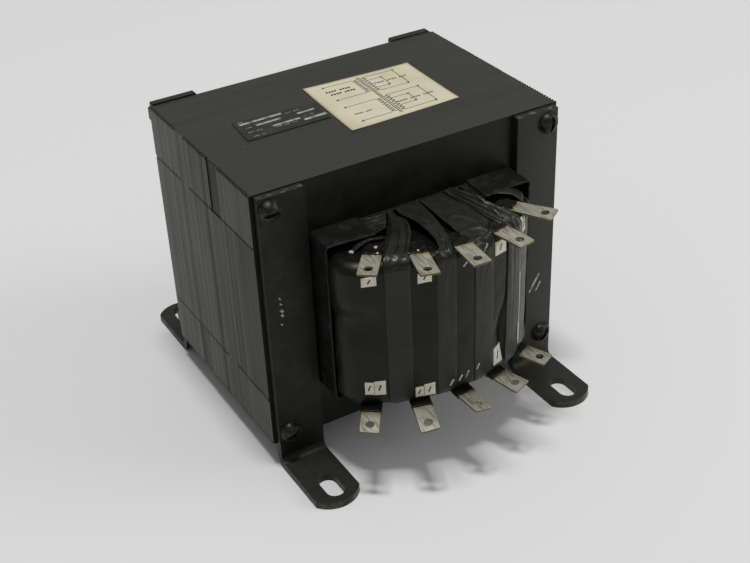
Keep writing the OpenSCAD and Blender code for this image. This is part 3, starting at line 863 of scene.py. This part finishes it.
def stroke(path, width, surface):
    """The shape of a line drawn along a path of surface coordinates."""
    fine = []
    for (a0, b0), (a1, b1) in zip(path, path[1:]):
        count = max(1, math.ceil(math.hypot(a1 - a0, b1 - b0) / 1.5))
        fine += [(a0 + (a1 - a0) * k / count, b0 + (b1 - b0) * k / count) for k in range(count)]
    fine.append(path[-1])
    points = []
    for k, (a, b) in enumerate(fine):
        before, after = fine[max(k - 1, 0)], fine[min(k + 1, len(fine) - 1)]
        run = math.hypot(after[0] - before[0], after[1] - before[1])
        shift_a = -(after[1] - before[1]) / run * width / 2
        shift_b = (after[0] - before[0]) / run * width / 2
        points += [surface(a + shift_a, b + shift_b), surface(a - shift_a, b - shift_b)]
    return points, net(len(fine), 2)


def marker(start, stop, top, low):
    """A slip of paper on the tape, with lifted corners."""
    lean = 0.4 * noise.noise(Vector((start, top, 1)))

    def on_slip(v, u):
        curl = 0.25 * max(abs(2 * u - 1) + abs(2 * v - 1) - 1.4, 0)
        return on_wall(start + (stop - start) * u, top + (low - top) * v + lean * u, MARKER_LIFT + curl)

    return grid(steps(0, 1, 8), steps(0, 1, 8), on_slip)


def marker_stroke(start, stop, top, low):
    middle, tall = (start + stop) / 2, top - low
    path = [(middle - 0.6, low + 0.3 * tall), (middle + 0.6, low + 0.72 * tall)]
    return stroke(path, 0.7, lambda a, b: on_wall(a, b, MARK_LIFT))


strip_edge = grid(PAPER_STRIP, (-1, 0, 1), lambda row, u: on_wall(row[0] + row[2] * u, row[1], STRIP_LIFT))
slips = joined([marker(*place) for place in MARKERS] + [strip_edge])
add_piece("paper_markers", flipped(slips), [paper], thickness=MARKER_T)
ink = clouded("dark_ink", INK, INK_THIN, (900, 0.4, 0.7), [0.7], shine=0.2)
add_piece("marker_strokes", joined([marker_stroke(*place) for place in MARKERS]), [ink], thickness=MARK_T)

# Core
# Sheets of electrical steel half a millimetre thick, punched as E and I shapes and stacked on edge.
# They lie in pairs: every other pair of E sheets is turned over, an I closes each, and the bolted
# stack is dipped in dark varnish. The I sheets have cut corners, so the edges of the stack are toothed.
PLATE_COUNT = 216
PLATE_GAP = 0.012
PLATE_CHAMFER = 0.035
SEAM_GAP = 0.4
I_SHORT = 0.02
I_CORNER = 1.2
PACKET_CORNER = 0.3
UPRIGHT_PACKET = (11.4, 22.0)
UPRIGHT_PALE = (15.6, 17.0)
INVERTED_PACKET = (-25.0, -15.5)
DARK_FROM = 25.0
TOP_DARK = (0.0185, 0.0184, 0.0160)
TOP_PALE = (0.0245, 0.0242, 0.0212)
SIDE_DARK = (0.008, 0.0083, 0.0068)
SIDE_PALE = (0.070, 0.0716, 0.0593)
FACE_BLACK = (0.004, 0.004, 0.0036)
FACE_GREY = (0.011, 0.011, 0.010)
DUST = (0.13, 0.13, 0.12)
SHEET_NODES = {"upright_e": "e_plates_upright", "top_i": "i_plates_top",
               "inverted_e": "e_plates_inverted", "bottom_i": "i_plates_bottom"}

varnish = Finish("core_varnish", 0.45)
shade = varnish.marked("sheet_shade")
on_side = varnish.part_of("Normal", "Y", 0, 1, signed=False)
# The sides get their own colours: the streaks are the sheets' own, and the sides' extra paleness over the top
# is painted light.
top_colour = varnish.layered(TOP_PALE, ((260, 0.45, 0.75, (1, 0.03, 1), 2.0), TOP_DARK))
side_colour = varnish.layered(SIDE_DARK, (shade, SIDE_PALE), ((420, 0.5, 0.85, (1, 1, 0.025)), SIDE_DARK))
colour = varnish.layered(top_colour, (on_side, side_colour), ((1100, 0.75, 0.79, (1, 1, 1), 1.0), DUST))
varnish.paint(colour, ((45, 0.35, 0.7, (1, 0.3, 0.3)), 0.42, 0.52))
dull = varnish.times(on_side, varnish.ranged(shade, 1.0, 0.0))
varnish.feed(varnish.shader, {"Specular IOR Level": varnish.ranged(dull, 0.56, 0.2)})
sheet_face = clouded("varnished_sheet_face", FACE_BLACK, FACE_GREY, (70, 0.4, 0.75), [0.36, 0.5], shine=0.24,
                     relief=((500, 0.3, 0.7), 0.03))

leg = core_high[1] / 3
yoke_z = core_low[2] + leg
seam_z = core_high[2] - leg


def e_outline(half, low):
    """Outline of an upright E, its yoke from `low` upwards and its legs ending below the seam."""
    end = seam_z - SEAM_GAP / 2
    return [(-half, low), (half, low), (half, end), (half - leg, end), (half - leg, yoke_z), (leg, yoke_z),
            (leg, end), (-leg, end), (-leg, yoke_z), (leg - half, yoke_z), (leg - half, end), (-half, end)]


def i_outline(left, right, high, cut):
    """Outline of the I that closes an upright E, with its corners cut off."""
    low = seam_z + SEAM_GAP / 2
    return [(cut - left, low), (right - cut, low), (right, low + cut), (right, high - cut),
            (right - cut, high), (cut - left, high), (-left, high - cut), (-left, low + cut)]


def turned_over(outline):
    return [(y, core_low[2] + core_high[2] - z) for y, z in reversed(outline)]


def pulled_in(outline, depth):
    """The outline moved inwards, for the rounded edge of a punched sheet."""
    moved = []
    for k, (y, z) in enumerate(outline):
        before, after = outline[k - 1], outline[(k + 1) % len(outline)]
        shift_y = shift_z = 0.0
        for (y0, z0), (y1, z1) in ((before, (y, z)), ((y, z), after)):
            length = math.hypot(y1 - y0, z1 - z0)
            shift_y -= (z1 - z0) / length * depth
            shift_z += (y1 - y0) / length * depth
        moved.append((y + shift_y, z + shift_z))
    return moved


sheets = {name: [] for name in SHEET_NODES}
shades = {name: [] for name in SHEET_NODES}


def add_sheet(name, outline, back, front, shade):
    """Adds one punched sheet between two depths to the sheets of its kind."""
    inner = pulled_in(outline, PLATE_CHAMFER)
    depths = (back, back + PLATE_CHAMFER, front - PLATE_CHAMFER, front)
    rings = zip(depths, (inner, outline, outline, inner))
    sheets[name].append(tube([[(x, y, z) for y, z in ring] for x, ring in rings]))
    shades[name] += [min(max(shade, 0), 1)] * (len(depths) * len(outline))


pitch = (core_high[0] - core_low[0]) / PLATE_COUNT
stack = random.Random(5)
for k in range(PLATE_COUNT):
    back = core_low[0] + k * pitch
    front = back + pitch - PLATE_GAP
    drift = 0.06 * noise.noise(Vector((k * 0.06, 0.5, 0)))
    half = core_high[1] - 0.06 + stack.uniform(-0.03, 0.03) + drift
    height = core_high[2] - stack.uniform(0.0, 0.02)
    ends = [core_high[1] - I_SHORT + stack.uniform(-0.04, 0.02) + drift for side in range(2)]
    shade = 0.54 + 0.6 * noise.noise(Vector((k * 0.13, 2.5, 0)))
    shade += 0.45 * noise.noise(Vector((k * 0.41, 7.5, 0))) + stack.uniform(-0.18, 0.18) - 0.0035 * back
    # Darker E sheets in front, and two packets that lie one way only, their I sheets pushed in on the left
    upright = k // 2 % 2 == 0
    i_shade = shade + 0.06
    corner = I_CORNER
    if back > DARK_FROM:
        shade = max(shade - 0.25, 0.24)
        i_shade = 0.85
    elif UPRIGHT_PACKET[0] < back < UPRIGHT_PACKET[1]:
        upright = True
        ends[0] -= 0.45
        i_shade = 0.12 if UPRIGHT_PALE[0] < back < UPRIGHT_PALE[1] else 0.0
        corner = PACKET_CORNER
    elif INVERTED_PACKET[0] < back < INVERTED_PACKET[1]:
        upright = False
        ends[0] -= 0.15
        i_shade = 0.5 * shade
        corner = PACKET_CORNER
    e_sheet = e_outline(half, core_low[2])
    i_sheet = i_outline(*ends, height, corner)
    if upright:
        add_sheet("upright_e", e_sheet, back, front, shade)
        add_sheet("top_i", i_sheet, back, front, i_shade)
    else:
        add_sheet("inverted_e", turned_over(e_sheet), back, front, shade)
        add_sheet("bottom_i", turned_over(i_sheet), back, front, i_shade)
for name, node in SHEET_NODES.items():
    piece = add_piece(f"{name}_sheets", joined(sheets[name]), [varnish, sheet_face], [node],
                      smooth=False)
    for polygon in piece.data.polygons:
        cut_off = min(abs(polygon.normal.y), abs(polygon.normal.z)) > 0.5
        polygon.material_index = 1 if cut_off or abs(polygon.normal.x) > 0.9 else 0
    note(piece, "sheet_shade", shades[name])

# Diagram sheet
# A yellowed paper sheet glued on top of the core, with the windings drawn on it in thin ink lines:
# the core as a double line, a zigzag for each winding, its leads and rows of short dashes.
SHEET_CORNERS = [(-29.6, -11.7), (-26.7, 50.2), (27.1, -14.8), (25.5, 48.5)]
SHEET_PAPER = (0.62, 0.58, 0.44)
SHEET_YELLOWED = (0.50, 0.43, 0.27)
SHEET_T = 0.15
SHEET_W, SHEET_L = 62.0, 55.0
EDGE_SHARE = 0.03
LINE_T = 0.04
THIN, THICK, CORE_LINE = 0.4, 0.6, 0.5
LEADS = [(0.085, 0.14, 0.425), (0.393, 0.14, 0.425), (0.566, 0.13, 0.425), (0.888, 0.14, 0.425),
         (0.07, 0.55, 0.83), (0.158, 0.55, 0.68), (0.35, 0.55, 0.67), (0.42, 0.55, 0.82),
         (0.54, 0.55, 0.85), (0.63, 0.55, 0.71), (0.80, 0.55, 0.70), (0.91, 0.55, 0.84)]
LINKS = [(0.815, 0.07, 0.42), (0.67, 0.158, 0.35), (0.835, 0.54, 0.91), (0.70, 0.63, 0.80)]
ZIGZAGS = [(0.445, 0.085, 0.393), (0.53, 0.07, 0.42), (0.445, 0.566, 0.888), (0.53, 0.54, 0.91)]
DASH_ROWS = [(0.195, 0.13, 0.36, 9, 1.7), (0.262, 0.15, 0.38, 9, 1.7), (0.737, 0.15, 0.31, 8, 1.1),
             (0.255, 0.56, 0.87, 13, 1.2), (0.733, 0.55, 0.89, 14, 1.2)]


def on_sheet(s, t, lift=0.0):
    """Point of the paper sheet, which lies on the core with a slight wave and lifted corners."""
    (x0, y0), (x1, y1), (x2, y2), (x3, y3) = SHEET_CORNERS
    x = (1 - s) * ((1 - t) * x0 + t * x2) + s * ((1 - t) * x1 + t * x3)
    y = (1 - s) * ((1 - t) * y0 + t * y2) + s * ((1 - t) * y1 + t * y3)
    wave = 0.06 * noise.noise(Vector((x, y, 0)) * 0.08)
    curl = 0.5 * max(abs(2 * s - 1) + abs(2 * t - 1) - 1.55, 0)
    return Vector((x, y, core_high[2] + SHEET_T + 0.08 + wave + curl + lift))


diagram_paper = Finish("diagram_paper", 0.62, shine=0.3)
cloud = diagram_paper.grain(35, 0.45, 0.8)
colour = diagram_paper.layered(SHEET_PAPER, (cloud, SHEET_YELLOWED),
                               (diagram_paper.marked("sheet_edge"), SHEET_YELLOWED))
diagram_paper.paint(colour, (cloud, 0.55, 0.7), ((1500, 0.3, 0.7), 0.02))
shares = steps(0, 1, 32)
diagram_sheet = add_piece("diagram_sheet", grid(shares, shares, on_sheet), [diagram_paper], thickness=SHEET_T)
note(diagram_sheet, "sheet_edge", [0.8 * max(0.0, 1 - min(s, 1 - s, t, 1 - t) / EDGE_SHARE)
                                   for s in shares for t in shares])
drawing = []


def draw(path, width):
    """Adds a line of the diagram, its path in shares of the sheet, its width in millimetres."""
    drawing.append(stroke([(s * SHEET_W, t * SHEET_L) for s, t in path], width,
                          lambda a, b: on_sheet(a / SHEET_W, b / SHEET_L, 0.03)))


for s in (0.48, 0.497):
    draw([(s, 0.05), (s, 0.94)], CORE_LINE)
for t, start, stop in LEADS:
    draw([(start, t), (stop, t)], THIN)
    for tip, lean in ((start, 1), (stop, -1)):
        if tip < 0.2 or tip > 0.6:
            draw([(tip + 0.02 * lean, t - 0.012), (tip, t), (tip + 0.02 * lean, t + 0.012)], THICK)
for s, start, stop in LINKS:
    draw([(s, start), (s, stop)], THIN)
for s, start, stop in ZIGZAGS:
    draw([(s + 0.022 * (-1) ** k, t) for k, t in enumerate(steps(start, stop, 16))], THICK)
for t, start, stop, count, width in DASH_ROWS:
    for k in range(count):
        if k % 5 != 4:
            s = start + (stop - start) * k / count
            end = s + 0.68 * (stop - start) / count
            draw([(s, t + 0.004 * (k % 3 - 1)), (end, t + 0.004 * (k % 2))], width)
add_piece("diagram_lines", flipped(joined(drawing)), [ink], thickness=LINE_T)

# Rating plate
# A thin sheet of black metal, stuck on top beside the paper sheet. Blank pale fields and rows of dashes
# are etched into it.
PLATE_OUTLINE = [(-14.5, -59.5), (8.0, -61.5), (8.0, -15.8), (-11.5, -14.0)]
PLATE_T = 0.6
PLATE_BLACK = (0.016, 0.016, 0.0155)
PLATE_RUB = (0.035, 0.035, 0.033)
FIELD_SILVER = (0.40, 0.40, 0.39)
FIELDS = [(-9.6, -57.8, -34.4, 1.9), (-4.9, -50.9, -37.0, 1.7), (0.4, -44.4, -28.9, 1.8),
          (-5.0, -28.1, -18.2, 1.7), (3.0, -28.2, -15.6, 2.3)]
DASHES = [(-11.9, -57.5, 4), (-8.6, -32.5, 7), (-4.4, -56.5, 3), (0.6, -57.5, 8), (2.6, -43.5, 12),
          (5.6, -57.0, 6), (-0.6, -27.5, 6)]
DASH_PITCH = 1.1
DASH_L = 0.7
FIELD_T = 0.05

black_plate = clouded("black_plate", PLATE_BLACK, PLATE_RUB, (120, 0.45, 0.75), [0.34, 0.5], shine=0.35,
                      relief=((900, 0.3, 0.7), 0.02))
silver = clouded("silver_field", FIELD_SILVER, PLATE_RUB, (250, 0.45, 0.7), [0.45], metallic=0.3)
plate_top = core_high[2] + PLATE_T
rating_plate = tube([[(x, y, z) for x, y in PLATE_OUTLINE] for z in (core_high[2] + 0.02, plate_top)])
ease_edges(add_piece("rating_plate", rating_plate, [black_plate], smooth=False), 0.2, black_plate)


def on_plate(y, x):
    return Vector((x, y, plate_top + 0.04))


fields = [stroke([(start, x), (stop, x - 0.2)], width, on_plate) for x, start, stop, width in FIELDS]
for x, start, count in DASHES:
    starts = [start + DASH_PITCH * k for k in range(count) if k % 4 != 3]
    fields += [stroke([(y, x), (y + DASH_L, x)], DASH_L, on_plate) for y in starts]
add_piece("plate_fields", flipped(joined(fields)), [silver], thickness=FIELD_T)

# Brackets
# Four lengths of steel strip, bent once to a foot with a slotted round end, punched for the bolts and
# painted black. The paint has worn off along the edges; the bare steel there is painted bright as a
# painted glint, and the right-hand brackets are painted paler as painted light from the right.
PAINT_BLACK = (0.003, 0.003, 0.0026)
PAINT_GREY = (0.009, 0.009, 0.0078)
PAINT_DUST_AND_SHEEN = (0.02, 0.02, 0.018)
PAINT_LIT_RIGHT = (0.042, 0.042, 0.038)
EDGE_BARE_AND_GLINT = (0.13, 0.127, 0.108)
BARE_STEEL_AND_GLINT = (0.24, 0.235, 0.20)
OLIVE = (0.07, 0.063, 0.038)
RUST = (0.06, 0.038, 0.02)
foot_tip = span("front_left_bracket")[1][0]
bracket_top = span("front_left_bracket")[1][2]

black_paint = Finish("bracket_paint", 0.42, shine=0.28)
# Faces turned up are painted paler: dust, and a painted sheen for the light the feet catch.
lying = black_paint.part_of("Normal", "Z", 0.6, 0.9)
at_top = black_paint.part_of("Object", "Z", (bracket_top - 3) * MM, (bracket_top - 2) * MM)
in_front = black_paint.part_of("Object", "X", (core_high[0] + 1.4) * MM, (core_high[0] + 2.2) * MM)
at_tip = black_paint.part_of("Object", "X", (foot_tip - 7) * MM, (foot_tip - 4) * MM, signed=False)
# The right-hand brackets are painted paler: painted light from the right.
on_right = black_paint.part_of("Object", "Y", 0.05, 0.08)
# Along the top of the front brackets the steel is bare, painted bright also as a painted highlight on the
# edge.
top_bare_and_glint = black_paint.times(lying, at_top, in_front, (260, 0.5, 0.66))
tip_worn = black_paint.times(at_tip, (220, 0.42, 0.6))
colour = black_paint.layered(PAINT_BLACK, ((120, 0.45, 0.75), PAINT_GREY), (on_right, PAINT_LIT_RIGHT),
                             (tip_worn, OLIVE), (lying, PAINT_DUST_AND_SHEEN), (top_bare_and_glint, EDGE_BARE_AND_GLINT))
black_paint.paint(colour, ((300, 0.35, 0.65), 0.34, 0.5), ((1500, 0.3, 0.7), 0.04))
# The rounded edges show bare steel and rust in patches; the bare steel is made bright as a painted glint
# along the edges.
worn_glinting_edge = Finish("worn_glinting_bracket_edge", 0.4, shine=0.45)
wear_and_glint = worn_glinting_edge.grain(130, 0.32, 0.5)
bare_and_glint = worn_glinting_edge.layered(BARE_STEEL_AND_GLINT, ((90, 0.52, 0.66), RUST))
worn_glinting_edge.paint(worn_glinting_edge.layered(PAINT_GREY, (wear_and_glint, bare_and_glint)), (wear_and_glint, 0.45, 0.35))
for name in ("front_left", "front_right", "rear_left", "rear_right"):
    ease_edges(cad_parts[f"{name}_bracket"], 0.5, black_paint, worn_glinting_edge)

# Through bolts
# Quarter-inch round-head screws with a driver slot, through brackets and core, each with a washer
# in front and a hexagon nut behind. They were painted over with the brackets.
BOLT_BLACK = (0.006, 0.006, 0.0055)
BOLT_RUB = (0.04, 0.039, 0.034)
THREAD_PITCH = 1.27
THREAD_R = 3.175
THREAD_DEEP = 0.28
THREAD_PROFILE = [(0.42, -0.05), (0.08, THREAD_DEEP), (-0.08, THREAD_DEEP), (-0.42, -0.05)]
TURN_STEPS = 24

bolt_steel = clouded("painted_bolt", BOLT_BLACK, BOLT_RUB, (420, 0.5, 0.72), [0.36, 0.5], shine=0.3,
                     relief=((1400, 0.3, 0.7), 0.04))
ease_edges(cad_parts["bolt_washers"], 0.15, bolt_steel)
threads = []
for name in ("top_left", "top_right", "bottom_left", "bottom_right"):
    ease_edges(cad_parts[f"{name}_bolt"], 0.25, bolt_steel)
    ease_edges(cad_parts[f"{name}_nut"], 0.3, bolt_steel)
    # The thread that stands out of the nut behind
    tail = span(f"{name}_bolt")[0][0] + 0.35
    nut_low, nut_high = span(f"{name}_nut")
    axis_y, axis_z = (nut_low[1] + nut_high[1]) / 2, (nut_low[2] + nut_high[2]) / 2
    rings = []
    for k in range(round((nut_low[0] - tail) / THREAD_PITCH * TURN_STEPS) + 1):
        turn = k / TURN_STEPS
        a = 2 * math.pi * turn
        rings.append([(tail + THREAD_PITCH * turn + along, axis_y + (THREAD_R + deep) * math.cos(a),
                       axis_z + (THREAD_R + deep) * math.sin(a)) for along, deep in THREAD_PROFILE])
    threads.append(tube(rings))
add_piece("bolt_threads", joined(threads), [bolt_steel])

# Paint marks
# Strokes and dabs of white paint, brushed by hand on the front brackets and on the tape. The paint is
# thin, so the black under it shows through.
CHALK = (0.46, 0.47, 0.47)
CHALK_THIN = (0.16, 0.16, 0.155)
bracket_face = span("bolt_washers")[0][0]
BRACKET_STROKES = [([(69.2, 49.6), (72.2, 54.6), (75.6, 59.8)], 1.3), ([(73.4, 49.4), (76.6, 54.4)], 1.1),
                   ([(-77.2, 101.0), (-76.2, 99.4)], 0.8), ([(-77.0, 97.6), (-75.8, 96.4)], 0.7),
                   ([(-76.9, 94.0), (-75.4, 92.4)], 1.4), ([(-76.6, 91.2), (-75.6, 89.8)], 1.2),
                   ([(-77.2, 86.2), (-76.4, 85.0)], 0.6)]
WALL_STROKES = [([(-1.9, 113.6), (1.6, 116.4)], 1.0), ([(2.6, 115.2), (4.1, 115.4)], 0.9),
                ([(10.0, 117.6), (12.6, 120.4)], 0.9), ([(-9.4, 47.8), (-7.6, 50.8)], 1.1),
                ([(-4.6, 48.6), (-2.6, 51.6)], 1.1), ([(-0.8, 49.0), (1.4, 52.6)], 0.9),
                ([(6.0, 51.4), (7.4, 54.4)], 1.1)]
CHALK_T = 0.3
marks = [stroke(path, width, lambda a, b: Vector((bracket_face + 0.06, a, b)))
         for path, width in BRACKET_STROKES]
marks += [stroke(path, width, lambda a, b: on_wall(a, b, 0.35)) for path, width in WALL_STROKES]
chalk = clouded("white_paint_mark", CHALK, CHALK_THIN, (500, 0.4, 0.65), [0.6], shine=0.3)
add_piece("paint_marks", joined(marks), [chalk], thickness=CHALK_T)

# Studio
# A pale sheet under the part, soft light from all round, a long ceiling lamp straight above and
# a weaker broad one on the right. Its lengths are metres.
FLOOR_HALF = 30
FLOOR_GREY = (0.74, 0.745, 0.745)
floor_mesh = bpy.data.meshes.new("floor")
corners = [(x * FLOOR_HALF, y * FLOOR_HALF, 0) for x, y in ((-1, -1), (1, -1), (1, 1), (-1, 1))]
floor_mesh.from_pydata(corners, [], [(0, 1, 2, 3)])
floor = bpy.data.objects.new("floor", floor_mesh)
bpy.context.scene.collection.objects.link(floor)
pale_sheet = Finish("pale_sheet", 0.8, shine=0.2)
pale_sheet.paint(FLOOR_GREY)
floor_mesh.materials.append(pale_sheet.material)

world = bpy.data.worlds.new("studio")
world.use_nodes = True
bpy.context.scene.world = world
surround = world.node_tree.nodes["Background"]
surround.inputs["Color"].default_value = (1.0, 1.0, 0.99, 1.0)
surround.inputs["Strength"].default_value = 0.29


def add_lamp(name, place, aim, size, length, power):
    data = bpy.data.lights.new(name, "AREA")
    data.shape = "RECTANGLE"
    data.size = size
    data.size_y = length
    data.energy = power
    lamp = bpy.data.objects.new(name, data)
    lamp.location = place
    lamp.rotation_euler = (Vector(aim) - Vector(place)).to_track_quat("-Z", "Y").to_euler()
    bpy.context.scene.collection.objects.link(lamp)


add_lamp("ceiling_tube", (0.14, -0.13, 4.0), (0, 0, 0.05), 1.0, 0.28, 92)
add_lamp("right_side", (2.4, 4.4, 2.6), (0, 0, 0.05), 2.6, 2.6, 70)

# Camera
# At the photograph's viewing angle, found from the core's corners and the feet. It stands about
# three quarters of a metre away and is tilted a little.
IMAGE_W = 750
FOCAL_PX = 1292.86
SENSOR_W = 36.0
EYE = Vector((523.38, -285.89, 434.01))
AZIMUTH, ELEVATION, ROLL = (math.radians(v) for v in (60.57, 32.86, -2.61))
flat = math.cos(ELEVATION)
back = Vector((math.sin(AZIMUTH) * flat, -math.cos(AZIMUTH) * flat, math.sin(ELEVATION)))
right = Vector((math.cos(AZIMUTH), math.sin(AZIMUTH), 0))
up = back.cross(right)
rolled_right = math.cos(ROLL) * right + math.sin(ROLL) * up
rolled_up = math.cos(ROLL) * up - math.sin(ROLL) * right
camera_data = bpy.data.cameras.new("camera")
camera_data.sensor_width = SENSOR_W
camera_data.lens = FOCAL_PX * SENSOR_W / IMAGE_W
camera_data.clip_start = 0.01
camera = bpy.data.objects.new("camera", camera_data)
camera.matrix_world = (Matrix.Translation(EYE * MM)
                       @ Matrix((rolled_right, rolled_up, back)).transposed().to_4x4())
bpy.context.scene.collection.objects.link(camera)
bpy.context.scene.camera = camera
bpy.context.scene.view_settings.view_transform = "Standard"
